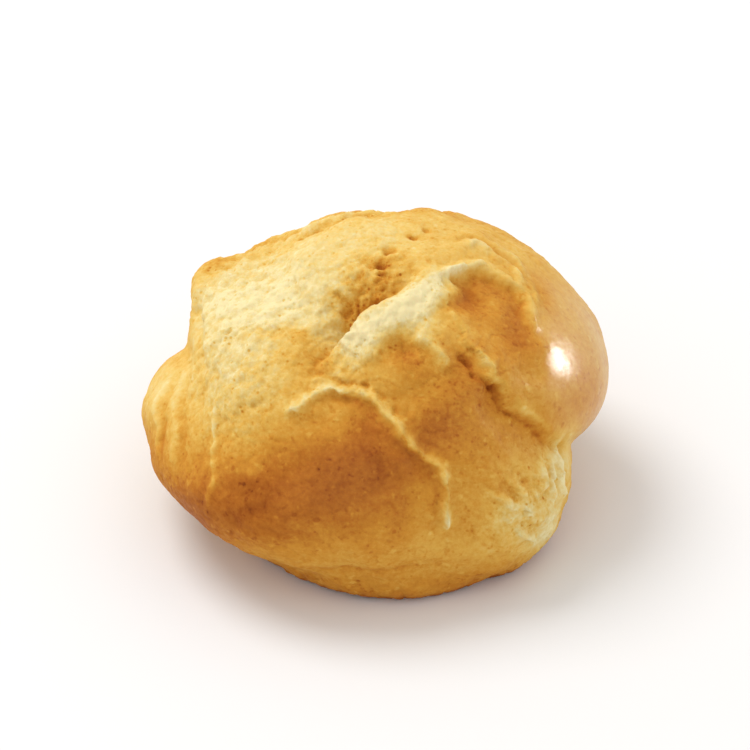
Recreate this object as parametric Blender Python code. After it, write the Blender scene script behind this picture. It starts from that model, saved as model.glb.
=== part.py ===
"""A cream puff: one piped and baked choux bun, whole and uncut, resting on its flat base.

The crust is a set of rounded lobes that have run together, as the piped swirl rose and
folded in the oven.  A crack, two torn edges and soft creases are then pressed into it, and
the underside is sliced flat where it sat on the baking tray.

Lengths are in millimetres and turn into metres when the mesh is made.  Places on the crust
are (bearing, rise) in degrees, seen from MIDDLE: bearing 0 is the front (-Y), 90 the right
(+X), 180 the back, and rise 90 is straight up.
"""

import math
from collections import namedtuple

import bmesh
import bpy
import numpy as np

MM = 0.001

# ---- driving dimensions -----------------------------------------------------------------

MIDDLE = (0.0, 0.0, 13.0)  # every line from here leaves the puff once only
GRID = 28  # mesh squares along each of the twelve edges of the starting cube
FARTHEST = 34.0  # no crust lies farther than this from MIDDLE
HALVINGS = 26  # steps that home in on the crust along one line
FLATTEST = 1e-9  # stands in for no slope at all, at the very centre of a lobe
SLICE_SNAP = 0.1  # corners this near the slice move on to it
SHARPEST = 50.0  # degrees: two faces that meet at more than this keep a crisp edge

# The foot is the first ring that was piped: a squat drum with soft edges.
FOOT_RADIUS = 15.8
FOOT_DEEPER = 1.12  # front to back, it is this much longer than its width
FOOT_TOP = 8.8
FOOT_BOTTOM = -0.6  # below the slice, so that the base has a crisp edge
FOOT_EDGE = 3.2
FOOT_PLACE = (1.4, -2.0)

# A lobe leans about Y, its right end down, and melts into the lobes before it over `melt`.
Lobe = namedtuple("Lobe", "name place radii lean melt")
LOBES = (
    Lobe("heart", (-1.0, 0.6, 13.3), (17.9, 18.4, 9.6), 21.0, 3.0),
    Lobe("front right foot", (10.8, -7.6, 7.6), (8.2, 10.8, 9.0), 0.0, 4.0),
    Lobe("back left body", (-8.7, 4.0, 8.2), (9.8, 12.5, 8.2), 0.0, 3.0),
    Lobe("back right body", (8.0, 9.5, 10.0), (10.0, 9.0, 8.8), 0.0, 2.5),
    Lobe("front bulge", (-4.9, -9.1, 9.9), (15.3, 12.5, 8.3), 0.0, 3.5),
    Lobe("left fold", (-16.8, -3.1, 9.9), (6.3, 10.0, 6.3), 0.0, 2.0),
    Lobe("back left corner", (-12.6, 7.3, 11.1), (3.4, 8.2, 10.6), -25.0, 2.5),
    Lobe("pale crown", (-1.5, 3.0, 15.2), (11.9, 14.7, 12.7), 0.0, 1.5),
    Lobe("left shoulder", (-9.5, -6.0, 13.0), (8.0, 8.0, 8.5), 0.0, 3.5),
    Lobe("belly", (6.5, -8.0, 13.5), (8.5, 8.5, 10.0), 0.0, 2.5),
    Lobe("right fold", (8.5, 1.3, 17.8), (15.7, 14.6, 8.7), 27.0, 0.8),
    Lobe("torn middle", (3.0, -5.5, 20.3), (6.5, 7.0, 6.0), 0.0, 1.5),
)

# A score follows a line over the crust.  It rises by `lift` (sinks if negative) and fades
# over `left` and `right`, the widths on either side of the line as one walks along it.
Score = namedtuple("Score", "name line lift left right")
SCORES = (
    Score("crack", ((-42, 46), (-31, 54), (-21, 63), (-2, 70), (32, 73), (78, 72)), -2.4, 2.2, 1.1),
    Score("crest", ((-18, 54), (5, 62), (40, 68), (90, 66), (104, 54)), 0.9, 1.6, 2.4),
    Score("fold edge", ((56, 55), (54, 43), (48, 33), (49, 26), (51, 20), (53, 12), (59, 2), (68, -5)),
          0.7, 1.3, 1.3),
    Score("fold shadow", ((46, 24), (48, 16), (50, 8), (57, -2), (70, -9)), -1.2, 1.8, 1.8),
    Score("lip", ((-32, 22), (-27, 30), (-20, 35), (-6, 33), (5, 27), (11, 16), (18, 9), (24, 5),
                  (23, -4), (20, -12)), 0.8, 1.9, 1.1),
    Score("left crease", ((-92, 14), (-78, 6), (-66, 0), (-56, -7)), -0.7, 1.4, 1.4),
    Score("shoulder crease", ((-88, 18), (-72, 31), (-60, 41), (-44, 46)), -0.6, 1.6, 1.6),
    Score("back crack", ((128, 52), (150, 40), (166, 26), (188, 18), (206, 2)), -1.8, 1.8, 1.2),
    Score("back crease", ((206, 50), (222, 34), (232, 16), (236, -2)), -0.8, 1.6, 1.6),
)

# A dimple is a round hollow in the crust, at (bearing, rise).
Dimple = namedtuple("Dimple", "name place depth radius")
DIMPLES = (
    Dimple("fold hollow", (70, 46), 1.1, 3.4),
    Dimple("middle hollow", (15, 46), 0.7, 2.2),
    Dimple("beside the lip", (21, 19), 0.5, 2.4),
    Dimple("back hollow", (176, 44), 0.8, 3.5),
)

# The whole crust swells and sinks a little in slow waves: length of wave, shift, height.
SWELLS = ((17.0, 0.4, 0.28), (11.5, 2.1, 0.22), (7.5, 4.4, 0.14))
SPAN_STEPS = 10  # straight pieces in each span of a score's smooth line

CRUST_COLOUR = (0.64, 0.36, 0.125, 1.0)
CRUST_ROUGHNESS = 0.55


# ---- the crust as a formula -------------------------------------------------------------


def melted(a, b, melt):
    """The union of two bodies, given as distances, with the join rounded over melt."""
    share = np.clip(0.5 + 0.5 * (b - a) / melt, 0.0, 1.0)
    return b + (a - b) * share - melt * share * (1.0 - share)


def lobe_distance(points, lobe):
    """How far each point is outside a lobe, close to true near its surface."""
    x, y, z = (points - np.array(lobe.place)).T
    cos, sin = math.cos(math.radians(lobe.lean)), math.sin(math.radians(lobe.lean))
    across = np.stack([x * cos - z * sin, y, x * sin + z * cos], axis=1)
    radii = np.array(lobe.radii)
    scaled = np.linalg.norm(across / radii, axis=1)
    steepness = np.linalg.norm(across / radii**2, axis=1)
    return scaled * (scaled - 1.0) / np.maximum(steepness, FLATTEST)


def foot_distance(points):
    """How far each point is outside the foot."""
    x = points[:, 0] - FOOT_PLACE[0]
    y = (points[:, 1] - FOOT_PLACE[1]) / FOOT_DEEPER
    half_height = (FOOT_TOP - FOOT_BOTTOM) / 2
    beside = np.hypot(x, y) - (FOOT_RADIUS - FOOT_EDGE)
    above = np.abs(points[:, 2] - (FOOT_TOP + FOOT_BOTTOM) / 2) - (half_height - FOOT_EDGE)
    outside = np.hypot(np.maximum(beside, 0.0), np.maximum(above, 0.0))
    return outside + np.minimum(np.maximum(beside, above), 0.0) - FOOT_EDGE


def puff_distance(points):
    """How far each point is outside the lobes and the foot, run together."""
    distance = foot_distance(points)
    for lobe in LOBES:
        distance = melted(distance, lobe_distance(points, lobe), lobe.melt)
    return distance


def direction(bearing, rise):
    """The unit vector from MIDDLE towards a place on the crust."""
    turn, lift = math.radians(bearing), math.radians(rise)
    return np.array(
        [math.sin(turn) * math.cos(lift), -math.cos(turn) * math.cos(lift), math.sin(lift)]
    )


def crust_points(directions):
    """Where lines from MIDDLE meet the smooth crust, found by halving."""
    near = np.zeros(len(directions))
    far = np.full(len(directions), FARTHEST)
    for _ in range(HALVINGS):
        half = (near + far) / 2
        inside = puff_distance(np.array(MIDDLE) + directions * half[:, None]) < 0.0
        near = np.where(inside, half, near)
        far = np.where(inside, far, half)
    return np.array(MIDDLE) + directions * near[:, None]


def smooth_line(places):
    """A line over the crust through the given places, bent smoothly between them."""
    knots = np.array([direction(*place) for place in places])
    knots = np.vstack([2 * knots[0] - knots[1], knots, 2 * knots[-1] - knots[-2]])
    steps = np.linspace(0.0, 1.0, SPAN_STEPS, endpoint=False)[:, None]
    spans = []
    for a, b, c, d in zip(knots, knots[1:], knots[2:], knots[3:]):
        curve = 2 * b + (c - a) * steps + (2 * a - 5 * b + 4 * c - d) * steps**2
        spans.append((curve + (3 * b - a - 3 * c + d) * steps**3) / 2)
    spans.append(knots[-2:-1])
    line = np.vstack(spans)
    return crust_points(line / np.linalg.norm(line, axis=1, keepdims=True))


def beside_line(points, line):
    """For each point: its distance from the line, its side (+1 right) and how far along."""
    nearest = np.full(len(points), np.inf)
    side = np.ones(len(points))
    along = np.zeros(len(points))
    for number, (start, end) in enumerate(zip(line, line[1:])):
        run = end - start
        part = np.clip((points - start) @ run / (run @ run), 0.0, 1.0)
        gap = points - start - part[:, None] * run
        distance = np.linalg.norm(gap, axis=1)
        to_right = gap @ np.cross(run, start - np.array(MIDDLE))
        closer = distance < nearest
        nearest = np.where(closer, distance, nearest)
        side = np.where(closer, np.sign(to_right), side)
        along = np.where(closer, (number + part) / (len(line) - 1), along)
    return nearest, side, along


def score_lift(points, score):
    """How far a score lifts each point of the crust."""
    distance, side, along = beside_line(points, smooth_line(score.line))
    width = np.where(side > 0.0, score.right, score.left)
    fade_out = np.sqrt(np.clip(4.0 * along * (1.0 - along), 0.0, 1.0))
    return score.lift * np.exp(-((distance / width) ** 2)) * fade_out


def dimple_lift(points, dimple):
    """How far a dimple lifts each point of the crust: it is never above zero."""
    centre = crust_points(direction(*dimple.place)[None])[0]
    distance = np.linalg.norm(points - centre, axis=1)
    return -dimple.depth * np.exp(-((distance / dimple.radius) ** 2))


def swell_lift(points):
    """The slow waves of the whole crust."""
    x, y, z = points.T
    lift = np.zeros(len(points))
    for wave, shift, height in SWELLS:
        turn = 2 * math.pi / wave
        ripple = np.sin(turn * x + shift) * np.sin(turn * y + 2 * shift)
        lift += height * ripple * np.cos(turn * z - shift)
    return lift


def baked_points(directions):
    """The finished crust along each line from MIDDLE."""
    points = crust_points(directions)
    lift = swell_lift(points)
    for score in SCORES:
        lift += score_lift(points, score)
    for dimple in DIMPLES:
        lift += dimple_lift(points, dimple)
    return points + directions * lift[:, None]


# ---- the mesh ---------------------------------------------------------------------------


def even_ball(squares):
    """A cube with a grid on each face, blown up to a ball of nearly even squares."""
    ball = bmesh.new()
    bmesh.ops.create_cube(ball, size=2.0)
    bmesh.ops.subdivide_edges(ball, edges=ball.edges[:], cuts=squares - 1, use_grid_fill=True)
    for vert in ball.verts:
        vert.co = [math.tan(value * math.pi / 4) for value in vert.co]
        vert.co.normalize()
    return ball


def slice_base(body):
    """Cut the body off level at the tray and close it with one flat face."""
    everything = body.verts[:] + body.edges[:] + body.faces[:]
    bmesh.ops.bisect_plane(
        body,
        geom=everything,
        dist=SLICE_SNAP * MM,
        plane_co=(0.0, 0.0, 0.0),
        plane_no=(0.0, 0.0, -1.0),
        use_snap_center=True,
        clear_outer=True,
    )
    rim = [edge for edge in body.edges if edge.is_boundary]
    bmesh.ops.holes_fill(body, edges=rim)
    bmesh.ops.recalc_face_normals(body, faces=body.faces[:])


def centre_over_base(body):
    """Slide the body along the tray until its box is centred over the origin."""
    places = np.array([vert.co for vert in body.verts])
    middle = (places.min(axis=0) + places.max(axis=0)) / 2
    bmesh.ops.translate(body, verts=body.verts[:], vec=(-middle[0], -middle[1], 0.0))


def crust_material():
    """The one golden brown of the baked dough."""
    material = bpy.data.materials.new("baked_choux")
    material.use_nodes = True
    surface = material.node_tree.nodes["Principled BSDF"]
    surface.inputs["Base Color"].default_value = CRUST_COLOUR
    surface.inputs["Roughness"].default_value = CRUST_ROUGHNESS
    surface.inputs["Metallic"].default_value = 0.0
    material.diffuse_color = CRUST_COLOUR
    return material


def make_puff(collection):
    """The whole puff as one closed solid, standing on the ground over the origin."""
    ball = even_ball(GRID)
    directions = np.array([vert.co for vert in ball.verts], dtype=float)
    for vert, point in zip(ball.verts, baked_points(directions) * MM):
        vert.co = point
    slice_base(ball)
    centre_over_base(ball)
    mesh = bpy.data.meshes.new("choux_puff")
    ball.to_mesh(mesh)
    ball.free()
    mesh.shade_smooth()
    mesh.set_sharp_from_angle(angle=math.radians(SHARPEST))
    mesh.materials.append(crust_material())
    puff = bpy.data.objects.new("choux_puff", mesh)
    collection.objects.link(puff)
    return puff


def main():
    for old in list(bpy.data.objects):
        bpy.data.objects.remove(old, do_unlink=True)
    collection = bpy.data.collections.new("cream_puff")
    bpy.context.scene.collection.children.link(collection)
    make_puff(collection)


main()
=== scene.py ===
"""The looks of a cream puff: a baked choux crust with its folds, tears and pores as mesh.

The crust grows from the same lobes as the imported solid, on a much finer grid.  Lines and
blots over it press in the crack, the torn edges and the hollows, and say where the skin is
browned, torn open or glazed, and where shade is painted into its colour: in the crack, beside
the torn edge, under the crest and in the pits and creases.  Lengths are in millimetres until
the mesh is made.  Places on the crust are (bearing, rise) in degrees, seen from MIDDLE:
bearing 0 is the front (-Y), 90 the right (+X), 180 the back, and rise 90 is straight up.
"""

import math
from collections import namedtuple

import bmesh
import bpy
import numpy as np
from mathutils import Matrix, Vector, noise


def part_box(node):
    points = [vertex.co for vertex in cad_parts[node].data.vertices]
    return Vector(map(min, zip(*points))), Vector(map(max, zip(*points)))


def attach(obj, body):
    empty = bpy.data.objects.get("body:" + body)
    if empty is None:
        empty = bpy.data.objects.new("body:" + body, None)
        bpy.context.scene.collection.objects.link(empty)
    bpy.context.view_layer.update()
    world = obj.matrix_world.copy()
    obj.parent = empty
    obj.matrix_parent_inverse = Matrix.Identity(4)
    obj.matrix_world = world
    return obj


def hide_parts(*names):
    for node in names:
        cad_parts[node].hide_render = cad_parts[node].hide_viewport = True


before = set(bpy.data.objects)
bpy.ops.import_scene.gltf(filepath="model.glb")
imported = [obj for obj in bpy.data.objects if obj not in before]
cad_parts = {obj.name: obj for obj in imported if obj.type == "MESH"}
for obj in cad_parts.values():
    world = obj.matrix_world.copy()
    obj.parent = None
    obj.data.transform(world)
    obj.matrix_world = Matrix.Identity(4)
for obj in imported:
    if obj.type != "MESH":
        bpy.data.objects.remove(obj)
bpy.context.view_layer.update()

MM = 0.001
NODE = "choux_puff"
ALMOST_NOTHING = 1e-9

# ---- the lobes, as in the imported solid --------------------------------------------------

MIDDLE = (0.0, 0.0, 13.0)
GRID = 138  # mesh squares along each of the twelve edges of the starting cube
FARTHEST = 34.0  # no part of the crust is farther than this from MIDDLE
HALVINGS = 22

FOOT_RADIUS = 15.8
FOOT_DEEPER = 1.12
FOOT_TOP = 8.8
FOOT_BOTTOM = -0.6
FOOT_EDGE = 3.2
FOOT_PLACE = (1.4, -2.0)

# A lobe is a ball stretched to its radii and leant over to the right by its lean, in degrees.
# It runs into the lobes above it in the list over about the width of its melt.
Lobe = namedtuple("Lobe", "name place radii lean melt")
LOBES = (
    Lobe("heart", (-1.0, 0.6, 13.3), (17.9, 18.4, 9.6), 21.0, 3.0),
    Lobe("front right foot", (10.8, -7.6, 7.6), (8.2, 10.8, 9.0), 0.0, 4.0),
    Lobe("back left body", (-8.7, 4.0, 8.2), (9.8, 12.5, 8.2), 0.0, 3.0),
    Lobe("back right body", (8.0, 9.5, 10.0), (10.0, 9.0, 8.8), 0.0, 2.5),
    Lobe("front bulge", (-4.9, -9.1, 9.9), (15.3, 12.5, 8.3), 0.0, 3.5),
    Lobe("left fold", (-16.8, -3.1, 9.9), (6.3, 10.0, 6.3), 0.0, 2.0),
    Lobe("back left corner", (-12.6, 7.3, 11.1), (3.4, 8.2, 10.6), -25.0, 2.5),
    Lobe("pale crown", (-1.5, 3.0, 15.2), (11.9, 14.7, 12.7), 0.0, 1.5),
    Lobe("left shoulder", (-9.5, -6.0, 13.0), (8.0, 8.0, 8.5), 0.0, 3.5),
    Lobe("belly", (6.5, -8.0, 13.5), (8.5, 8.5, 10.0), 0.0, 2.5),
    Lobe("right fold", (8.5, 1.3, 17.8), (15.7, 14.6, 8.7), 27.0, 0.8),
    Lobe("torn middle", (3.0, -5.5, 20.3), (6.5, 7.0, 6.0), 0.0, 1.5),
)
SWELLS = ((17.0, 0.4, 0.28), (11.5, 2.1, 0.22), (7.5, 4.4, 0.14))  # length, shift and height

# ---- what is drawn on the crust ---------------------------------------------------------

# A line runs over the crust through its places.  Walking along it, right is positive.
LINES = {
    "crack": ((-30, 34), (-32, 41), (-31, 49), (-27, 56), (-22, 62), (-13, 68), (2, 70), (21, 72),
              (47, 74), (76, 74), (98, 71)),
    "crest": ((-26, 50), (-14, 57), (5, 62), (40, 67), (70, 65), (88, 60), (94, 53), (94, 46)),
    "hollow rim": ((66, 62), (76, 63), (86, 60), (92, 54), (92, 47), (88, 40), (80, 35), (70, 30)),
    "middle edge": ((-27, 49), (-17, 54), (-3, 50), (-1, 44)),
    "middle ridge": ((21, 53), (27, 47), (30, 43), (31, 37)),
    "torn edge": ((60, 63), (51, 56), (46, 47), (43, 43), (46, 38), (47, 34), (44, 31), (47, 27),
                  (48, 24), (51, 19), (54, 12), (60, 2), (68, -5)),
    "torn shadow": ((48, 51), (40, 41), (41, 35), (40, 32), (43, 30), (45, 25), (46, 19), (51, 13),
                    (58, 1), (70, -9)),
    "pleat": ((108, 61), (113, 54), (106, 49), (102, 45), (98, 41), (88, 38)),
    "outer pleat": ((129, 48), (118, 47), (109, 42), (103, 39), (92, 36), (81, 33), (70, 28)),
    "lip": ((-34, 21), (-30, 25), (-27, 30), (-21, 34), (-15, 34), (-8, 33), (-2, 32), (2, 29),
            (6, 25), (9, 20), (13, 15), (17, 12), (21, 9), (21, 4), (20, -3), (20, -8), (18, -11)),
    "lip crevice": ((-30, 33), (-26, 37), (-20, 38), (-13, 36), (-5, 36), (1, 32), (7, 28),
                    (10, 23)),
    "shoulder edge": ((-76, 29), (-66, 37), (-59, 43), (-46, 48), (-34, 50)),
    "left seam": ((-104, 21), (-94, 21), (-79, 20), (-67, 16), (-60, 9)),
    "left pleat": ((-86, 9), (-79, 6), (-73, 3), (-67, -1), (-61, -6)),
    "inner pleat": ((-84, 14), (-70, 8), (-60, 3), (-53, -4)),
    "left rib": ((-60, 18), (-54, 13), (-49, 6), (-44, 1), (-43, -8)),
    "patch streak": ((-43, 2), (-36, 3), (-30, 4), (-22, 7)),
    "lower streak": ((-42, -3), (-34, -3), (-27, -1), (-18, -2)),
    "upper flake": ((-30, 32), (-25, 36), (-20, 39), (-14, 37)),
    "crinkle 1": ((32, 0), (36, -4), (40, -8)),
    "crinkle 2": ((40, 0), (42, -5), (43, -12)),
    "crinkle 3": ((53, 1), (49, -3), (45, -7)),
    "crinkle 4": ((58, -3), (53, -7), (48, -13)),
    "crinkle 5": ((37, -12), (41, -14), (44, -20)),
    "crinkle 6": ((62, 3), (61, -4), (58, -11), (56, -17)),
    "patch fold": ((-42, -5), (-32, -6), (-20, -7), (-8, -9)),
    "foot fold": ((-30, -18), (-15, -20), (0, -21), (14, -21), (30, -21)),
    "back split": ((232, 44), (214, 52), (190, 54), (168, 60)),
    "back fold": ((200, -6), (188, 6), (176, 10), (162, 6), (154, -4)),
    "back crack": ((128, 52), (150, 40), (166, 26), (188, 18), (206, 2)),
    "back crease": ((206, 50), (222, 34), (232, 16), (236, -2)),
}
SPAN_STEPS = 8  # points that a line gets between one place and the next

# A mark works along part of a line, from start to end of it, at `shift` to its right, and
# fades over left and right of that, and over `fade` of the line's length at its ends.  It
# lifts the crust, browns it, tears it and glazes it, and beads break it up.  On some marks
# the browning is painted shade, in the crack, under the crest and beside the torn edge.
Mark = namedtuple("Mark", "line shift left right start end fade lift brown torn glaze beads")
MARKS = (
    Mark("crack", 0.0, 2.3, 0.45, 0.0, 1.0, 0.35, -1.9, 0.05, 0.3, -0.3, 0.1),
    # painted shadow: the thin dark line along the crack, below the crest's edge
    Mark("crack", -0.5, 0.9, 0.4, 0.2, 0.85, 0.25, -0.8, 0.26, 0.2, -0.3, 0.4),
    Mark("crack", -2.6, 2.4, 2.0, 0.3, 1.0, 0.2, 0.0, 0.20, 0.8, -0.3, 0.6),
    Mark("crack", 0.0, 0.6, 0.5, 0.0, 0.4, 0.12, -0.45, 0.06, 0.1, 0.0, 0.2),
    Mark("crest", 0.0, 1.3, 2.0, 0.0, 0.85, 0.3, 0.9, -0.29, 0.4, -0.4, 0.1),
    Mark("crest", 0.5, 0.8, 1.2, 0.05, 0.9, 0.2, 0.0, -0.22, 0.0, -0.2, 0.2),
    Mark("crest", 0.0, 0.6, 0.6, 0.5, 1.0, 0.2, 0.5, -0.14, 0.0, -0.2, 0.3),
    Mark("hollow rim", 0.0, 0.5, 0.35, 0.0, 1.0, 0.15, 0.40, -0.16, 0.0, 0.0, 0.3),
    # painted shadow: the crest's overhang shading the top of the hollow
    Mark("hollow rim", 0.9, 0.4, 1.6, 0.0, 1.0, 0.15, -0.60, 0.20, 0.0, -0.2, 0.1),
    Mark("middle edge", 0.0, 0.8, 0.9, 0.0, 1.0, 0.2, 0.5, -0.28, 0.3, -0.3, 0.3),
    Mark("middle ridge", 0.0, 0.6, 0.5, 0.0, 1.0, 0.12, 0.65, -0.30, 0.2, -0.3, 0.15),
    Mark("torn edge", 0.0, 0.40, 0.35, 0.0, 0.62, 0.1, 0.70, -0.40, 0.4, -0.8, 0.8),
    Mark("torn edge", 0.0, 0.35, 0.35, 0.5, 0.95, 0.15, 0.40, -0.20, 0.1, -0.8, 0.3),
    Mark("torn edge", -0.4, 2.6, 0.4, 0.0, 0.8, 0.2, 0.45, 0.0, 0.0, 0.0, 0.0),
    # the torn shadow marks paint shadow into the colour beside the torn edge
    Mark("torn shadow", 0.0, 0.45, 0.40, 0.1, 0.6, 0.1, -0.5, 0.28, 0.4, -0.8, 0.8),
    Mark("torn shadow", 0.0, 0.4, 0.35, 0.5, 1.0, 0.1, -0.4, 0.18, 0.1, -0.8, 0.3),
    Mark("torn shadow", 0.5, 1.6, 1.4, 0.35, 1.0, 0.2, -0.65, 0.06, 0.0, -0.5, 0.0),
    Mark("pleat", 0.0, 0.45, 0.45, 0.0, 1.0, 0.15, 0.5, -0.22, 0.1, 0.0, 0.3),
    Mark("pleat", -0.9, 0.4, 0.4, 0.0, 1.0, 0.15, -0.25, 0.12, 0.0, 0.0, 0.3),
    Mark("outer pleat", 0.0, 0.45, 0.45, 0.1, 1.0, 0.30, 0.35, -0.16, 0.0, 0.0, 0.4),
    Mark("lip", 0.0, 0.46, 0.42, 0.0, 1.0, 0.06, 0.50, -0.31, 0.1, -0.3, 0.35),
    Mark("lip", 0.0, 0.8, 0.5, 0.05, 0.45, 0.1, 0.15, -0.06, 0.2, 0.0, 0.6),
    Mark("lip", 0.0, 0.7, 0.6, 0.74, 1.0, 0.08, 0.30, -0.14, 0.0, 0.0, 0.2),
    Mark("upper flake", 0.0, 0.45, 0.35, 0.0, 1.0, 0.2, 0.40, -0.26, 0.1, -0.2, 0.5),
    Mark("lip", 0.3, 0.40, 2.6, 0.0, 1.0, 0.10, 0.55, 0.0, 0.0, 0.0, 0.2),
    Mark("lip", 1.1, 0.40, 0.7, 0.05, 0.55, 0.15, -0.40, 0.14, 0.0, 0.0, 0.5),
    Mark("lip", 1.0, 0.40, 0.6, 0.5, 1.0, 0.10, -0.30, 0.07, 0.0, 0.0, 0.2),
    Mark("lip", 2.6, 1.4, 3.0, 0.2, 0.75, 0.25, 0.0, 0.14, 0.0, 0.0, 0.1),
    Mark("lip crevice", 0.0, 0.40, 0.35, 0.0, 1.0, 0.12, -0.45, 0.24, 0.4, -0.2, 0.9),
    Mark("shoulder edge", 0.0, 0.9, 1.2, 0.0, 1.0, 0.25, -0.16, 0.14, 0.0, 0.0, 0.2),
    Mark("left seam", 0.0, 0.9, 0.9, 0.0, 1.0, 0.25, -0.7, 0.04, 0.0, 0.0, 0.2),
    Mark("left pleat", 0.0, 0.6, 0.5, 0.0, 1.0, 0.4, -0.40, 0.18, 0.0, 0.0, 0.4),
    Mark("left pleat", 0.9, 0.5, 0.5, 0.0, 1.0, 0.3, 0.25, -0.16, 0.0, 0.0, 0.2),
    Mark("inner pleat", 0.0, 0.5, 0.6, 0.0, 1.0, 0.4, -0.32, 0.16, 0.0, 0.0, 0.4),
    Mark("inner pleat", 1.0, 0.5, 0.6, 0.0, 1.0, 0.3, 0.20, -0.14, 0.0, 0.0, 0.2),
    Mark("left rib", 0.0, 0.4, 0.35, 0.0, 1.0, 0.2, 0.34, -0.24, 0.0, 0.0, 0.5),
    Mark("patch streak", 0.0, 0.9, 0.9, 0.0, 1.0, 0.5, -0.12, 0.08, 0.0, 0.0, 0.0),
    Mark("patch streak", -1.2, 0.5, 0.5, 0.0, 0.7, 0.3, 0.08, -0.12, 0.0, 0.0, 0.5),
    Mark("lower streak", 0.0, 0.8, 0.8, 0.0, 1.0, 0.4, -0.10, 0.08, 0.0, 0.0, 0.2),
    Mark("patch fold", 0.0, 0.6, 0.6, 0.0, 1.0, 0.3, -0.20, 0.08, 0.0, 0.0, 0.3),
    Mark("foot fold", 0.0, 0.5, 0.5, 0.0, 1.0, 0.3, -0.22, 0.08, 0.1, 0.0, 0.5),
    Mark("back split", 0.0, 0.5, 1.5, 0.0, 1.0, 0.3, -0.6, 0.20, 0.5, -0.3, 0.4),
    Mark("back split", -0.8, 0.6, 0.6, 0.0, 1.0, 0.3, 0.4, -0.24, 0.3, -0.3, 0.4),
    Mark("back fold", 0.0, 0.4, 0.4, 0.0, 1.0, 0.2, 0.5, -0.34, 0.2, -0.3, 0.5),
    Mark("back fold", -0.9, 1.8, 0.7, 0.0, 1.0, 0.2, 0.4, 0.16, 0.0, 0.0, 0.2),
    Mark("back crack", 0.0, 1.7, 0.5, 0.15, 1.0, 0.3, -1.7, 0.20, 0.6, -0.3, 0.3),
    Mark("back crack", 1.5, 1.0, 1.6, 0.15, 1.0, 0.3, 0.5, -0.28, 0.3, -0.3, 0.3),
    Mark("back crease", 0.0, 1.4, 1.4, 0.0, 1.0, 0.3, -0.8, 0.10, 0.1, 0.0, 0.2),
)
for crinkle in [name for name in LINES if name.startswith("crinkle")]:
    MARKS += (  # a ridge, and a valley beside it
        Mark(crinkle, 0.0, 0.45, 0.40, 0.0, 1.0, 0.3, 0.50, -0.24, 0.1, 0.0, 0.4),
        Mark(crinkle, -0.9, 0.45, 0.40, 0.0, 1.0, 0.3, -0.35, 0.16, 0.1, 0.0, 0.3),
    )

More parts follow.
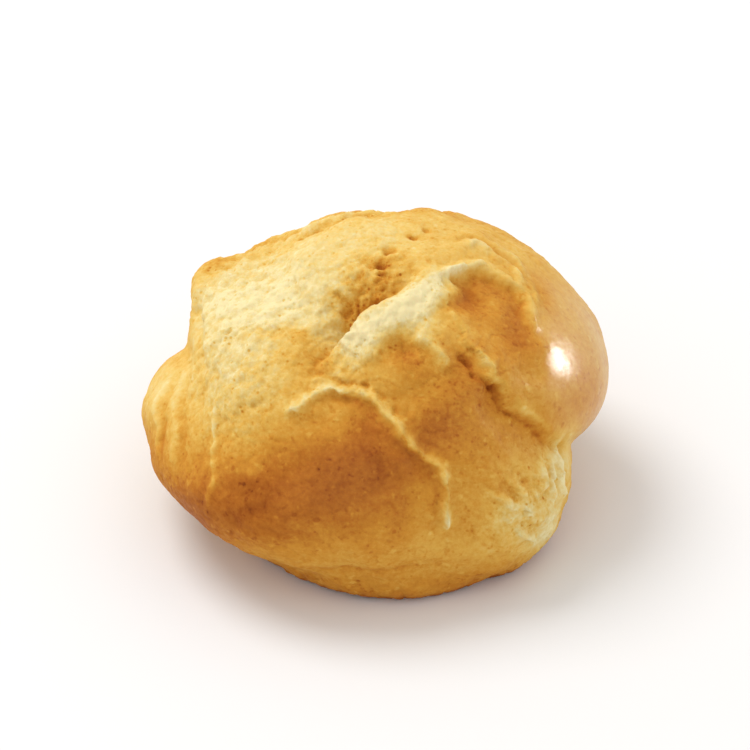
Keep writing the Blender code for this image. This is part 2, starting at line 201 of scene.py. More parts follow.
# A blot does the same in a round patch.
Blot = namedtuple("Blot", "name place radius lift brown torn glaze")
BLOTS = (
    Blot("crown", (-70, 50), 7.5, 0.0, -0.33, 0.35, -0.4),
    Blot("crown left", (-92, 32), 6.5, 0.0, -0.26, 0.35, -0.3),
    Blot("crown back", (185, 68), 8.0, 0.0, -0.18, 0.2, -0.3),
    Blot("corner", (-117, 26), 1.3, 0.5, 0.16, 0.0, 0.0),
    Blot("crown far left", (-112, 34), 4.0, 0.0, 0.0, 0.3, -0.3),
    Blot("crown low left", (-100, 23), 3.6, 0.0, -0.18, 0.3, -0.2),
    Blot("middle grain", (-14, 49), 2.2, 0.0, -0.12, 0.5, -0.2),
    Blot("left hem", (-79, 1), 2.8, 0.0, -0.12, 0.0, 0.0),
    Blot("left shade", (-54, -3), 3.0, 0.0, -0.08, 0.0, 0.0),
    Blot("golden shoulder", (-42, 42), 3.4, 0.2, 0.22, -0.1, 0.1),
    Blot("above the lip", (-28, 40), 2.4, 0.0, 0.10, 0.1, 0.0),
    Blot("pale edge", (-27, 53), 2.2, 0.0, -0.24, 0.1, -0.2),
    Blot("pale slope", (26, 58), 2.3, 0.0, -0.24, 0.2, -0.2),
    Blot("left grain", (-54, 22), 6.0, 0.0, -0.16, 0.65, -0.4),
    Blot("left fold", (-82, 6), 4.5, 0.0, -0.06, 0.0, 0.0),
    Blot("left fold low", (-72, -8), 5.0, 0.0, 0.20, 0.0, 0.1),
    Blot("left edge", (-92, 0), 4.0, 0.0, -0.16, 0.0, 0.0),
    Blot("left low", (-52, -11), 5.0, 0.0, 0.34, 0.0, 0.2),
    Blot("under the patch", (4, -12), 4.0, 0.0, 0.06, 0.0, 0.0),
    Blot("patch", (-4, 10), 7.0, 0.4, 0.26, -0.3, 0.25),
    Blot("patch right", (7, 5), 4.0, 0.0, 0.07, 0.0, 0.0),
    Blot("patch middle", (-18, 3), 6.0, 0.0, 0.19, -0.2, 0.1),
    Blot("patch left", (-36, -2), 6.5, 0.0, 0.30, -0.3, 0.15),
    Blot("fold hollow", (68, 54), 3.0, -1.1, 0.34, -0.2, -0.5),
    Blot("fold hollow low", (64, 34), 2.8, -0.3, 0.28, -0.2, -0.5),
    Blot("middle hollow", (15, 49), 2.1, -1.0, 0.24, 0.2, -0.1),
    Blot("under the hollow", (14, 38), 2.6, 0.0, 0.10, 0.0, 0.0),
    Blot("beside the lip", (21, 19), 3.0, -0.5, 0.18, 0.0, 0.1),
    Blot("under the tear", (38, 36), 3.2, 0.0, 0.16, 0.0, 0.0),
    Blot("belly", (36, 22), 5.0, 0.0, 0.16, 0.0, 0.2),
    Blot("front right", (34, -2), 6.0, 0.0, 0.10, 0.0, 0.1),
    Blot("foot right", (46, -10), 4.6, 0.0, -0.18, 0.7, -0.3),
    Blot("foot edge", (60, -5), 3.2, 0.0, -0.44, 0.5, -0.3),
    Blot("foot low edge", (50, -21), 3.0, 0.0, -0.42, 0.3, -0.2),
    Blot("foot crinkles", (38, -7), 2.6, 0.0, -0.18, 0.4, -0.2),
    Blot("fold rim", (87, 35), 2.4, 0.0, 0.04, 0.0, -0.50),
    Blot("fold side", (94, 34), 3.0, 0.0, 0.10, 0.0, 0.0),
    Blot("under the fold", (56, 3), 3.0, 0.0, 0.12, 0.0, 0.0),
    Blot("fold rim low", (64, 26), 2.0, 0.0, 0.0, 0.0, -0.40),
    Blot("glazed fold", (84, 18), 8.5, 0.0, 0.04, -0.4, 0.8),
    Blot("glazed fold low", (70, 4), 6.0, 0.0, 0.16, -0.3, 0.4),
    Blot("pore", (134, 83), 0.50, -0.6, 0.45, 0.2, 0.0),
    Blot("pore behind", (136, 71), 0.55, -0.6, 0.40, 0.2, 0.0),
    Blot("third pore", (137, 63), 0.45, -0.5, 0.35, 0.2, 0.0),
    Blot("pore in the crack", (16, 87), 0.50, -0.5, 0.35, 0.2, 0.0),
    Blot("back hollow", (176, 44), 3.5, -0.8, 0.15, 0.2, 0.0),
    Blot("back patch", (168, 24), 8.0, 0.2, 0.24, -0.1, 0.1),
    Blot("back low right", (146, 2), 7.0, 0.2, 0.26, -0.1, 0.0),
    Blot("back low", (206, -6), 7.0, 0.0, 0.20, 0.0, 0.1),
    Blot("back left glaze", (250, 6), 7.0, 0.0, 0.26, -0.2, 0.3),
    Blot("back grain", (228, 30), 6.0, 0.0, -0.12, 0.5, -0.3),
)
BROWN_BASE = 0.42
TORN_BASE = 0.14
GLAZE_BASE = 0.28
RIM_BROWN = 0.25  # towards the low edge, where the crust meets the tray
RIM_HEIGHT = 8.0
TRAY_BROWN = 0.25  # the edge itself
TRAY_HEIGHT = 1.3


def melted(a, b, melt):
    """The union of two bodies, given as distances, with the join rounded over melt."""
    share = np.clip(0.5 + 0.5 * (b - a) / melt, 0.0, 1.0)
    return b + (a - b) * share - melt * share * (1.0 - share)


def lobe_distance(points, lobe):
    """How far each point is outside a lobe, close to true near its surface."""
    x, y, z = (points - np.array(lobe.place)).T
    cos, sin = math.cos(math.radians(lobe.lean)), math.sin(math.radians(lobe.lean))
    across = np.stack([x * cos - z * sin, y, x * sin + z * cos], axis=1)
    radii = np.array(lobe.radii)
    scaled = np.linalg.norm(across / radii, axis=1)
    steepness = np.linalg.norm(across / radii**2, axis=1)
    return scaled * (scaled - 1.0) / np.maximum(steepness, ALMOST_NOTHING)


def foot_distance(points):
    """How far each point is outside the foot."""
    x = points[:, 0] - FOOT_PLACE[0]
    y = (points[:, 1] - FOOT_PLACE[1]) / FOOT_DEEPER
    half_height = (FOOT_TOP - FOOT_BOTTOM) / 2
    beside = np.hypot(x, y) - (FOOT_RADIUS - FOOT_EDGE)
    above = np.abs(points[:, 2] - (FOOT_TOP + FOOT_BOTTOM) / 2) - (half_height - FOOT_EDGE)
    outside = np.hypot(np.maximum(beside, 0.0), np.maximum(above, 0.0))
    return outside + np.minimum(np.maximum(beside, above), 0.0) - FOOT_EDGE


def puff_distance(points):
    """How far each point is outside the lobes and the foot, run together."""
    distance = foot_distance(points)
    for lobe in LOBES:
        distance = melted(distance, lobe_distance(points, lobe), lobe.melt)
    return distance


def direction(bearing, rise):
    """The unit vector from MIDDLE towards a place on the crust."""
    turn, lift = math.radians(bearing), math.radians(rise)
    return np.array(
        [math.sin(turn) * math.cos(lift), -math.cos(turn) * math.cos(lift), math.sin(lift)]
    )


def crust_points(directions):
    """Where lines from MIDDLE meet the smooth crust, found by halving."""
    near = np.zeros(len(directions))
    far = np.full(len(directions), FARTHEST)
    for _ in range(HALVINGS):
        half = (near + far) / 2
        inside = puff_distance(np.array(MIDDLE) + directions * half[:, None]) < 0.0
        near = np.where(inside, half, near)
        far = np.where(inside, far, half)
    return np.array(MIDDLE) + directions * near[:, None]


def smooth_line(places):
    """A line over the crust through the given places, bent smoothly between them."""
    knots = np.array([direction(*place) for place in places])
    knots = np.vstack([2 * knots[0] - knots[1], knots, 2 * knots[-1] - knots[-2]])
    steps = np.linspace(0.0, 1.0, SPAN_STEPS, endpoint=False)[:, None]
    spans = []
    for a, b, c, d in zip(knots, knots[1:], knots[2:], knots[3:]):
        curve = 2 * b + (c - a) * steps + (2 * a - 5 * b + 4 * c - d) * steps**2
        spans.append((curve + (3 * b - a - 3 * c + d) * steps**3) / 2)
    spans.append(knots[-2:-1])
    line = np.vstack(spans)
    return crust_points(line / np.linalg.norm(line, axis=1, keepdims=True))


LINE_REACH = 8.0  # nothing farther than this from a line feels it
NEARNESS = 12.0  # how strongly the nearest stretch of a line counts over the others
LEAST_GAP = 0.001  # keeps a point on the line itself from counting without end


def beside_line(points, line):
    """For each point: its distance from the line, its side of it and how far along it.

    The side runs from 0 on the left to 1 on the right.
    """
    middle = line.mean(axis=0)
    reach = np.linalg.norm(line - middle, axis=1).max() + LINE_REACH
    close = np.flatnonzero(np.linalg.norm(points - middle, axis=1) < reach)
    here = points[close]
    nearest = np.full(len(here), np.inf)
    total, side, along = np.zeros((3, len(here)))
    for number, (start, end) in enumerate(zip(line, line[1:])):
        run = end - start
        part = np.clip((here - start) @ run / (run @ run), 0.0, 1.0)
        gap = here - start - part[:, None] * run
        distance = np.linalg.norm(gap, axis=1) + LEAST_GAP
        nearest = np.minimum(nearest, distance)
        weight = distance**-NEARNESS
        total += weight
        side += weight * (gap @ np.cross(run, start - np.array(MIDDLE)) > 0.0)
        along += weight * (number + part) / (len(line) - 1)
    spread = np.full((3, len(points)), LINE_REACH)
    spread[:, close] = nearest, side / total, along / total
    return spread


def across_mark(mark, gap, swelling):
    """The strength of a mark at a gap to the right of its line, its widths swelling by a share."""
    width = np.where(gap > mark.shift, mark.right, mark.left) * swelling
    return np.exp(-(((gap - mark.shift) / width) ** 2))


def ease(values, low, high):
    """0 below low, 1 above high, and a smooth rise between."""
    part = np.clip((values - low) / (high - low), 0.0, 1.0)
    return part * part * (3.0 - 2.0 * part)


def each(function, points, size):
    """A noise function of one point, for all points, at a size in millimetres."""
    return np.array([function(Vector(point)) for point in points / size])


PUSH_SHIFTS = (40.0, 90.0, 150.0)  # far apart, so that the three ways of a push differ


def roughened(points, size, amount):
    """The points pushed about a little, so that what is drawn by distance isn't even."""
    pushes = [each(noise.noise, points + shift, size) for shift in PUSH_SHIFTS]
    return points + amount * np.stack(pushes, axis=1)


LUCK_SPREAD = 9.7  # pulls neighbouring cells' centres apart, so that each has its own luck
PIT_SHRINK = 0.6  # the smallest pits are this share smaller than the largest


def pits(points, size, radius, share, shift=0.0):
    """Pits of unlike depth, up to 1 deep, in a share of the cells of a given size."""

    def pit(point):
        gaps, centres = noise.voronoi(point)
        luck = (noise.cell(centres[0] * LUCK_SPREAD) + 1.0) / (2.0 * share)
        if luck > 1.0:
            return 0.0
        small = 1.0 - PIT_SHRINK * luck
        return small * max(0.0, 1.0 - (gaps[0] * size / (radius * small)) ** 2)

    return each(pit, points + shift, size)


def wrinkles(points, size, width):
    """Narrow winding lines, 1 along their middles and 0 at their width, some size apart."""
    return 1.0 - ease(each(lambda p: abs(noise.noise(p)), points, size), 0.0, width)


DRIFT_SIZE, DRIFT = 2.6, 0.50  # how the marks stray: slow drifts, and small jags on them
JAG_SIZE, JAG = 0.9, 0.20
BEAD_SIZE = 1.1
BEAD_ENDS = (-0.35, 0.25)  # the noise at which a bead has broken off, and has its full strength
SWELLING_SIZE, SWELLING = 2.9, 0.6  # how a mark's widths vary along it


def draw_marks(skin, fields):
    """Add the marks and blots to the fields lift, browning (which also takes painted shade), torn
    and glaze.
    """
    loose = roughened(skin, DRIFT_SIZE, DRIFT)
    loose = roughened(loose, JAG_SIZE, JAG)
    broken = ease(each(noise.noise, skin, BEAD_SIZE), *BEAD_ENDS)
    swelling = 1.0 + SWELLING * each(noise.noise, skin, SWELLING_SIZE)
    lines = {name: beside_line(loose, smooth_line(places)) for name, places in LINES.items()}
    for mark in MARKS:
        distance, side, along = lines[mark.line]
        strength = side * across_mark(mark, distance, swelling)
        strength += (1.0 - side) * across_mark(mark, -distance, swelling)
        strength *= ease(along, mark.start, mark.start + mark.fade)
        strength *= 1.0 - ease(along, mark.end - mark.fade, mark.end)
        strength *= 1.0 - mark.beads * (1.0 - broken)
        for field in fields:
            fields[field] += getattr(mark, field) * strength
    for blot in BLOTS:
        centre = crust_points(direction(*blot.place)[None])[0]
        distance = np.linalg.norm(loose - centre, axis=1)
        strength = np.exp(-((distance / blot.radius) ** 2))
        for field in fields:
            fields[field] += getattr(blot, field) * strength


def swell_lift(points):
    """The slow waves of the whole crust."""
    x, y, z = points.T
    lift = np.zeros(len(points))
    for wave, shift, height in SWELLS:
        turn = 2 * math.pi / wave
        ripple = np.sin(turn * x + shift) * np.sin(turn * y + 2 * shift)
        lift += height * ripple * np.cos(turn * z - shift)
    return lift


# The fine relief: the sizes that its parts come in, and how high or deep each part is.
WARP_SIZE, WARP = 0.9, 0.30
GRAIN_SIZE, GRAIN_ON_SKIN, GRAIN_ON_TEARS = 1.2, 0.09, 0.24
GRAIN_LAYERS = (0.9, 2.1, 4)  # how soon they weaken, how much finer each is, how many there are
LUMP_SIZE, LUMP_HEIGHT = 3.4, 0.18
PEBBLE_SIZE, PEBBLE_HEIGHT = 1.15, 0.30
PORE_SIZE, PORE_RADIUS, PORE_SHARE, PORE_DEPTH = 1.3, 0.45, 0.30, 0.40
PINHOLE_SIZE, PINHOLE_RADIUS, PINHOLE_SHARE, PINHOLE_DEPTH = 1.2, 0.30, 0.05, 0.10
BLISTER_SIZE, BLISTER_RADIUS, BLISTER_SHARE, BLISTER_HEIGHT = 2.3, 0.60, 0.15, 0.12
PINHOLE_SHIFT, BLISTER_SHIFT = 31.0, 57.0  # so that they don't lie in the pores' cells
CREASE_SIZE, CREASE_WIDTH, CREASE_DEPTH = 2.0, 0.09, 0.08
PUCKER_SIZE, PUCKER_WIDTH, PUCKER_DEPTH = 2.2, 0.16, 0.14
PUCKER_STRETCH = (1.0, 1.0, 0.2)  # they run up and down
PUCKER_LOW, PUCKER_HIGH = 1.0, 6.0  # they fade out between these heights
TORN_ENDS = (0.1, 0.9)  # where the torn grain sets in, and where it is full
DARK_PEBBLE_ENDS = (-0.1, 0.3)
# How much each of these darkens the crust where it is deep: painted shade in the pits, hollows and
# creases.
PORE_DARK, PEBBLE_DARK, PINHOLE_DARK, CREASE_DARK = 0.7, 0.4, 0.4, 0.15


def fine_relief(skin, torn, matt):
    """The small lumps, pits and wrinkles, and how deep each point lies among them, which paints
    shade into the colour.
    """
    warped = roughened(skin, WARP_SIZE, WARP)
    grain = each(lambda p: noise.fractal(p, *GRAIN_LAYERS), skin, GRAIN_SIZE)
    lumps = each(noise.noise, skin, LUMP_SIZE)
    pebbles = 0.5 - each(lambda p: noise.voronoi(p)[0][0], warped, PEBBLE_SIZE)
    creases = wrinkles(warped, CREASE_SIZE, CREASE_WIDTH)
    puckers = wrinkles(warped * PUCKER_STRETCH, PUCKER_SIZE, PUCKER_WIDTH)
    pores = pits(warped, PORE_SIZE, PORE_RADIUS, PORE_SHARE)
    pinholes = pits(warped, PINHOLE_SIZE, PINHOLE_RADIUS, PINHOLE_SHARE, PINHOLE_SHIFT)
    blisters = pits(warped, BLISTER_SIZE, BLISTER_RADIUS, BLISTER_SHARE, BLISTER_SHIFT)
    rough = ease(torn, *TORN_ENDS)
    low = 1.0 - ease(skin[:, 2], PUCKER_LOW, PUCKER_HIGH)
    relief = matt * (LUMP_HEIGHT * lumps + GRAIN_ON_SKIN * grain + BLISTER_HEIGHT * blisters)
    relief += rough * (GRAIN_ON_TEARS * grain + PEBBLE_HEIGHT * pebbles - PORE_DEPTH * pores)
    relief -= matt * (PINHOLE_DEPTH * pinholes + CREASE_DEPTH * creases)
    relief -= PUCKER_DEPTH * low * puckers
    # deep is painted shade: it darkens the colour in pores, between pebbles, in pinholes and in
    # creases
    deep = rough * (PORE_DARK * pores + PEBBLE_DARK * ease(-pebbles, *DARK_PEBBLE_ENDS))
    return relief, deep + PINHOLE_DARK * pinholes + CREASE_DARK * creases


def even_ball(squares):
    """A cube with a grid on each face, blown up to a ball of nearly even squares."""
    ball = bmesh.new()
    bmesh.ops.create_cube(ball, size=2.0)
    bmesh.ops.subdivide_edges(ball, edges=ball.edges[:], cuts=squares - 1, use_grid_fill=True)
    for vert in ball.verts:
        vert.co = [math.tan(value * math.pi / 4) for value in vert.co]
        vert.co.normalize()
    return ball


SLICE_SNAP = 0.02  # what lies this close to the tray is moved on to it


def slice_base(body):
    """Cut the body off level at the tray and close it with one flat face."""
    everything = body.verts[:] + body.edges[:] + body.faces[:]
    bmesh.ops.bisect_plane(
        body,
        geom=everything,
        dist=SLICE_SNAP * MM,
        plane_co=(0.0, 0.0, 0.0),
        plane_no=(0.0, 0.0, -1.0),
        use_snap_center=True,
        clear_outer=True,
    )
    rim = [edge for edge in body.edges if edge.is_boundary]
    bmesh.ops.holes_fill(body, edges=rim)
    bmesh.ops.recalc_face_normals(body, faces=body.faces[:])


def outward(ball):
    """The way out of the crust at each of its points."""
    ball.normal_update()
    return np.array([vert.normal for vert in ball.verts])


GLAZE_ENDS = (0.35, 0.75)  # where egg wash begins to smooth the skin, and where it is thickest
GLAZE_SMOOTHS = 0.85  # the share of the small relief that the thickest wash fills


def make_crust():
    """The whole crust as one mesh, with its browning, its painted shade, tears, glaze and depth at
    each point.
    """
    ball = even_ball(GRID)
    directions = np.array([vert.co for vert in ball.verts], dtype=float)
    skin = crust_points(directions)
    fields = {
        "lift": np.zeros(len(skin)),
        "brown": np.full(len(skin), BROWN_BASE),
        "torn": np.full(len(skin), TORN_BASE),
        "glaze": np.full(len(skin), GLAZE_BASE),
    }
    draw_marks(skin, fields)
    fields["brown"] += RIM_BROWN * (1.0 - ease(skin[:, 2], 0.0, RIM_HEIGHT))
    fields["brown"] += TRAY_BROWN * (1.0 - ease(skin[:, 2], 0.0, TRAY_HEIGHT))
    for name in ("torn", "glaze"):
        fields[name] = np.clip(fields[name], 0.0, 1.0)
    matt = 1.0 - GLAZE_SMOOTHS * ease(fields["glaze"], *GLAZE_ENDS)
    lift = fields.pop("lift") + swell_lift(skin) * matt
    points = skin + directions * lift[:, None]
    for vert, point in zip(ball.verts, points):
        vert.co = point
    relief, fields["deep"] = fine_relief(skin, fields["torn"], matt)
    points += outward(ball) * relief[:, None]
    layers = {name: ball.verts.layers.float.new(name) for name in fields}
    for number, (vert, point) in enumerate(zip(ball.verts, points * MM)):
        vert.co = point
        for name, layer in layers.items():
            vert[layer] = fields[name][number]
    slice_base(ball)
    mesh = bpy.data.meshes.new("crust")
    ball.to_mesh(mesh)
    ball.free()
    mesh.shade_smooth()
    unwrap(mesh)
    return mesh


DOWN = 2  # the square that takes the faces towards the tray
SQUARE_HALF = 0.47  # of a square's side, which leaves a gap all round
DOWN_HALF = 0.40  # less, because the flat base takes up more than its square


def unwrap(mesh):
    """Lay the crust out flat in six squares, by the way each face looks."""
    corners = np.array([mesh.vertices[loop.vertex_index].co for loop in mesh.loops]) / MM
    ways = corners - MIDDLE
    sizes = [len(face.vertices) for face in mesh.polygons]
    centres = np.repeat([face.center for face in mesh.polygons], sizes, axis=0) / MM - MIDDLE
    axis = np.abs(centres).argmax(axis=1)
    rows = np.arange(len(ways))
    depth = np.abs(ways[rows, axis])
    front = centres[rows, axis] > 0.0
    across = np.arctan2(ways[rows, (axis + 1) % 3], depth) * 4 / math.pi
    up = np.arctan2(ways[rows, (axis + 2) % 3], depth) * 4 / math.pi
    cell = axis + 3 * front
    half = np.where(cell == DOWN, DOWN_HALF, SQUARE_HALF)
    column = (cell % 3 + 0.5 + half * across) / 3
    row = (cell // 3 + 0.5 + half * up) / 2
    layer = mesh.uv_layers.new(name="OFBake")
    layer.data.foreach_set("uv", np.stack([column, row], axis=1).ravel())


def stand_on(piece, node):
    """Move the mesh across the tray so that its box has its middle over the node's, in x and y."""
    low, high = (Vector(corner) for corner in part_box(node))
    places = np.array([vert.co for vert in piece.data.vertices])
    middle = (places.min(axis=0) + places.max(axis=0)) / 2
    goal = (low + high) / 2
    for vert in piece.data.vertices:
        vert.co.x += goal.x - middle[0]
        vert.co.y += goal.y - middle[1]


class Wire:
    """One output of a node, which can be reckoned with like a number."""

    def __init__(self, finish, socket):
        self.finish = finish
        self.socket = socket

    def reckon(self, operation, first, second):
        """A Math node on two values, of which at least one is a wire."""
        return self.finish.add("ShaderNodeMath", {"operation": operation}, {0: first, 1: second})

    def __add__(self, other):
        return self.reckon("ADD", self, other)

    def __radd__(self, other):
        return self.reckon("ADD", other, self)

    def __sub__(self, other):
        return self.reckon("SUBTRACT", self, other)

    def __rsub__(self, other):
        return self.reckon("SUBTRACT", other, self)

    def __mul__(self, other):
        return self.reckon("MULTIPLY", self, other)

    def __rmul__(self, other):
        return self.reckon("MULTIPLY", other, self)


MIDDLE_OF_RAMP = 0.5  # where a ramp's stops wait until they get their places


class Finish:
    """A material whose nodes are added one call at a time."""

    def __init__(self, name):
        self.material = bpy.data.materials.new(name)
        self.material.use_nodes = True
        self.nodes = self.material.node_tree.nodes
        self.links = self.material.node_tree.links
        self.surface = self.nodes["Principled BSDF"]

    def set(self, node, values):
        """Give each named socket of a node its value, or link a wire to it."""
        for key, value in values.items():
            if isinstance(value, Wire):
                self.links.new(value.socket, node.inputs[key])
            else:
                node.inputs[key].default_value = value

    def add(self, kind, settings, values, output=0):
        """A new node with its settings and the values of its sockets, as one of its outputs."""
        node = self.nodes.new(kind)
        for key, value in settings.items():
            if key == "stops":
                self.set_stops(node.color_ramp, value)
            else:
                setattr(node, key, value)
        self.set(node, values)
        return Wire(self, node.outputs[output])

    def set_stops(self, ramp, stops):
        """Give a colour ramp its stops, each a place from 0 to 1 and a colour."""
        while len(ramp.elements) < len(stops):
            ramp.elements.new(MIDDLE_OF_RAMP)
        for element, (place, colour) in zip(ramp.elements, stops):
            element.position = place
            element.color = colour

    def field(self, name):
        """What the mesh holds under a name at each of its points."""
        return self.add("ShaderNodeAttribute", {"attribute_name": name}, {}, "Fac")

    def clamp(self, value):
        """The value, kept from 0 to 1."""
        return self.add("ShaderNodeClamp", {}, {"Value": value})


def linear(red, green, blue):
    """A colour as a screen shows it, 0 to 255, in linear values, by the sRGB curve."""
    shares = [value / 255 for value in (red, green, blue)]
    lit = [s / 12.92 if s < 0.04045 else ((s + 0.055) / 1.055) ** 2.4 for s in shares]
    return (*lit, 1.0)


# The crust's colours as it bakes, from raw-looking torn dough to the darkest brown.  The tone that
# picks from them also carries painted shade.
BAKE_COLOURS = (
    (0.00, linear(229, 214, 163)),
    (0.15, linear(221, 199, 136)),
    (0.30, linear(219, 184, 102)),
    (0.45, linear(211, 163, 72)),
    (0.60, linear(198, 137, 47)),
    (0.75, linear(176, 106, 32)),
    (0.90, linear(149, 78, 19)),
    (1.00, linear(112, 54, 12)),
)

# Clouds of tone or height: their size, detail and roughness.
MOTTLE = (2.6, 5.0, 0.6)
SPECKLE = (0.55, 3.0, 0.7)
CRUMBS = (0.30, 4.0, 0.65)
# Spots, where a cloud is dense: its size, detail and roughness, how hard the spots' edges are,
# and how much of the cloud is left out.
SPECK_GROUPS = (1.5, 2.0, 0.55, 5.0, 2.2)
FRECKLES = (0.75, 2.0, 0.4, 9.0, 5.6)
FLECKS = (0.95, 2.0, 0.4, 9.0, 5.7)
# A speck in each cell: the cell's size, how full the speck is, and how fast it fades outwards.
SPECK_SIZE, SPECK_FULLNESS, SPECK_FADE = 0.62, 1.6, 5.0
# How much each changes the browning, on whole skin and by how much more where it is torn.
MOTTLE_TONE, MOTTLE_TEARS = 0.24, 0.16
SPECKLE_TONE, SPECKLE_TEARS = 0.26, 0.40
SPECK_TONE, SPECK_TEARS = 0.08, 0.24
# DEPTH_SHADE is painted shade, darker where the crust lies deep among its pits and creases
FRECKLE_TONE, DEPTH_SHADE = 0.10, 0.25
# How dull the dry skin is, what the egg wash takes off that, and where its coat sets in.
DULL, GLAZE_POLISH, SPECKLE_DULL = 0.82, 0.42, 0.25
COAT_RISE, COAT_START = 1.3, 0.6
# The heights of the finest grain, as shares of BUMP_HEIGHT.
CRUMBS_ON_SKIN, LEATHER_HEIGHT, STROKE_HEIGHT, SPECK_DEPTH = 0.4, 0.5, 0.12, 0.8
STROKE_SIZE = 12.0  # the brush strokes of the egg wash lie about a third of this apart
BUMP_HEIGHT, BUMP_STRENGTH = 0.12, 0.7
LIGHT_DEPTH = 1.2  # how far light goes into the crust
CRUST = {
    "Coat Roughness": 0.20,
    "IOR": 1.45,
    "Specular IOR Level": 0.12,
    "Subsurface Weight": 0.12,
    "Subsurface Radius": (1.0, 0.5, 0.25),
    "Subsurface Scale": LIGHT_DEPTH * MM,
}


def crust_finish():
    """Baked choux: browned by the bake, pale and crumbly where torn, shiny where egg-washed, with
    shade painted into its cracks, pits and creases.
    """
    finish = Finish("choux_crust")
    brown, torn = finish.field("brown"), finish.field("torn")
    glaze, deep = finish.field("glaze"), finish.field("deep")
    place = finish.add("ShaderNodeTexCoord", {}, {}, "Object")

    def cloud(size, detail, roughness):
        values = {"Vector": place, "Scale": 1.0 / (size * MM)}
        values.update({"Detail": detail, "Roughness": roughness})
        return finish.add("ShaderNodeTexNoise", {}, values, "Fac")

    def spots(size, detail, roughness, edge, left_out):
        return finish.clamp(edge * cloud(size, detail, roughness) - left_out)

    mottle, speckle = cloud(*MOTTLE) - 0.5, cloud(*SPECKLE) - 0.5
    cells = {"Vector": place, "Scale": 1.0 / (SPECK_SIZE * MM)}
    centres = finish.add("ShaderNodeTexVoronoi", {}, cells, "Distance")
    specks = finish.clamp(SPECK_FULLNESS - SPECK_FADE * centres) * spots(*SPECK_GROUPS)
    tone = brown + mottle * (MOTTLE_TONE + MOTTLE_TEARS * torn)
    # the last term paints shade into the pits and creases
    tone = tone + speckle * (SPECKLE_TONE + SPECKLE_TEARS * torn) + DEPTH_SHADE * deep
    tone = tone + FRECKLE_TONE * spots(*FRECKLES) - FRECKLE_TONE * spots(*FLECKS)
    tone = tone + specks * (SPECK_TONE + SPECK_TEARS * torn)
    colour = finish.add("ShaderNodeValToRGB", {"stops": BAKE_COLOURS}, {"Fac": tone}, "Color")
    roughness = finish.clamp(DULL - GLAZE_POLISH * glaze + SPECKLE_DULL * speckle)
    coat = finish.clamp(COAT_RISE * glaze - COAT_START)
    leather = finish.add("ShaderNodeTexVoronoi", {"feature": "SMOOTH_F1"}, cells, "Distance")
    brushed = {"Vector": place, "Scale": 1.0 / (STROKE_SIZE * MM)}
    brushed.update({"Distortion": 2.0, "Detail": 2.0})
    strokes = finish.add("ShaderNodeTexWave", {"bands_direction": "X"}, brushed, "Fac")
    height = cloud(*CRUMBS) * (CRUMBS_ON_SKIN + torn) + LEATHER_HEIGHT * leather
    height = height + STROKE_HEIGHT * strokes * glaze - SPECK_DEPTH * specks * torn
    grain = {"Height": height, "Distance": BUMP_HEIGHT * MM, "Strength": BUMP_STRENGTH}
    bump = finish.add("ShaderNodeBump", {}, grain, "Normal")
    finish.set(finish.surface, CRUST)
    finish.set(finish.surface, {"Base Color": colour, "Roughness": roughness})
    finish.set(finish.surface, {"Coat Weight": coat, "Normal": bump})
    return finish.material


# ---- the table, the light and the camera ------------------------------------------------

# From here on, lengths are in metres.
ELEVATION = 38.0  # degrees, how far the camera looks down
CAMERA_AWAY = 0.65
FRAME_WIDTH = 0.074  # how much the camera takes in across, at the puff
SENSOR = 36.0  # the usual film's width; only its share with the lens counts

TABLE_HALF = 1.5
TABLE_WHITE = (0.80, 0.795, 0.795, 1.0)
ROOM_LIGHT = (1.0, 0.985, 0.965, 1.0)
ROOM_STRENGTH = 0.91

# A lamp is a round, even light. One that isn't soft doesn't light what is matt, and one that
# isn't mirrored doesn't show in what shines.
Lamp = namedtuple("Lamp", "name place size power soft mirrored")
LAMPS = (
    Lamp("window", (-0.27, 0.20, 0.56), 0.36, 2.15, True, True),
    Lamp("side_lamp", (0.385, 0.11, 0.12), 0.12, 1.3, False, True),
    Lamp("white_card", (0.30, -0.08, 0.02), 0.12, 0.07, True, False),
)


def put(name, data):
    """A new object in the scene, from a mesh, a light or a camera."""
    thing = bpy.data.objects.new(name, data)
    bpy.context.scene.collection.objects.link(thing)
    return thing


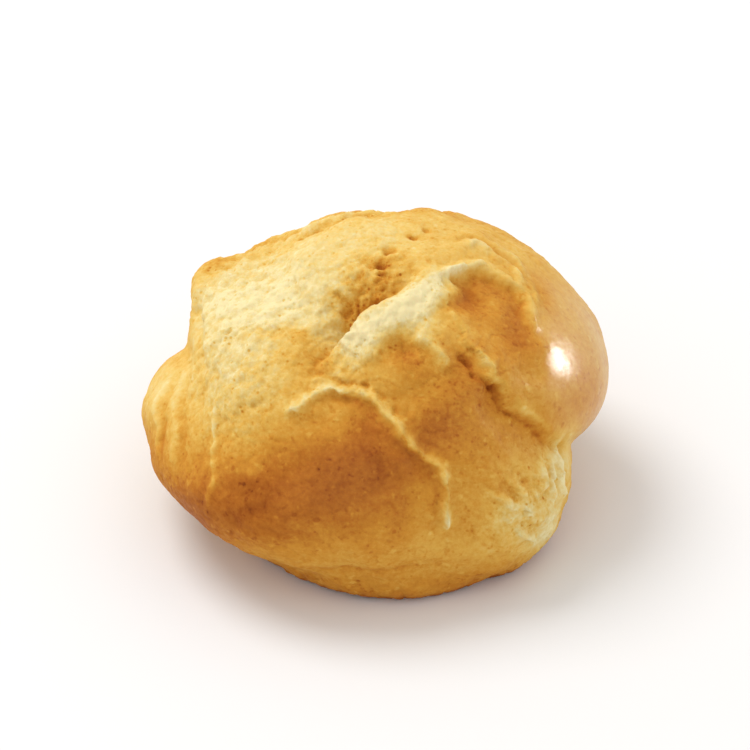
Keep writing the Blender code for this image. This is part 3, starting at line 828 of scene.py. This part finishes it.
def make_table():
    """A wide, plain, pale table top, which isn't part of the puff."""
    mesh = bpy.data.meshes.new("table_top")
    ways = ((-1, -1), (1, -1), (1, 1), (-1, 1))
    corners = [(across * TABLE_HALF, along * TABLE_HALF, 0.0) for across, along in ways]
    mesh.from_pydata(corners, [], [range(len(corners))])
    finish = Finish("white_table")
    finish.set(finish.surface, {"Base Color": TABLE_WHITE, "Roughness": 0.6})
    finish.set(finish.surface, {"Specular IOR Level": 0.0})
    mesh.materials.append(finish.material)
    put("table_top", mesh)


def make_lights(target):
    """The lamps, turned towards the target, and the even light of a pale room."""
    for lamp in LAMPS:
        data = bpy.data.lights.new(lamp.name, "AREA")
        data.shape = "DISK"
        data.size = lamp.size
        data.energy = lamp.power
        light = put(lamp.name, data)
        light.location = lamp.place
        way = Vector(target) - Vector(lamp.place)
        light.rotation_euler = way.to_track_quat("-Z", "Y").to_euler()
        light.visible_diffuse = lamp.soft
        light.visible_glossy = lamp.mirrored
    room = bpy.data.worlds.new("soft_room")
    bpy.context.scene.world = room
    room.use_nodes = True
    background = room.node_tree.nodes["Background"]
    background.inputs["Color"].default_value = ROOM_LIGHT
    background.inputs["Strength"].default_value = ROOM_STRENGTH


def make_camera(target):
    """A camera with a long lens, in front of the puff and above it."""
    data = bpy.data.cameras.new("camera")
    data.sensor_width = SENSOR
    data.lens = SENSOR * CAMERA_AWAY / FRAME_WIDTH
    camera = put("camera", data)
    rise = math.radians(ELEVATION)
    camera.location = Vector(target) + CAMERA_AWAY * Vector((0.0, -math.cos(rise), math.sin(rise)))
    camera.rotation_euler = (math.radians(90.0 - ELEVATION), 0.0, 0.0)
    bpy.context.scene.camera = camera


def main():
    """The puff on its table, in its light, before its camera."""
    low, high = (Vector(corner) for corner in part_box(NODE))
    target = (low + high) / 2
    make_camera(target)
    make_table()
    make_lights(target)
    crust = put("baked_crust", make_crust())
    stand_on(crust, NODE)
    crust.data.materials.append(crust_finish())
    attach(crust, "root")
    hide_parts(NODE)
    bpy.context.scene.view_settings.view_transform = "Standard"


main()
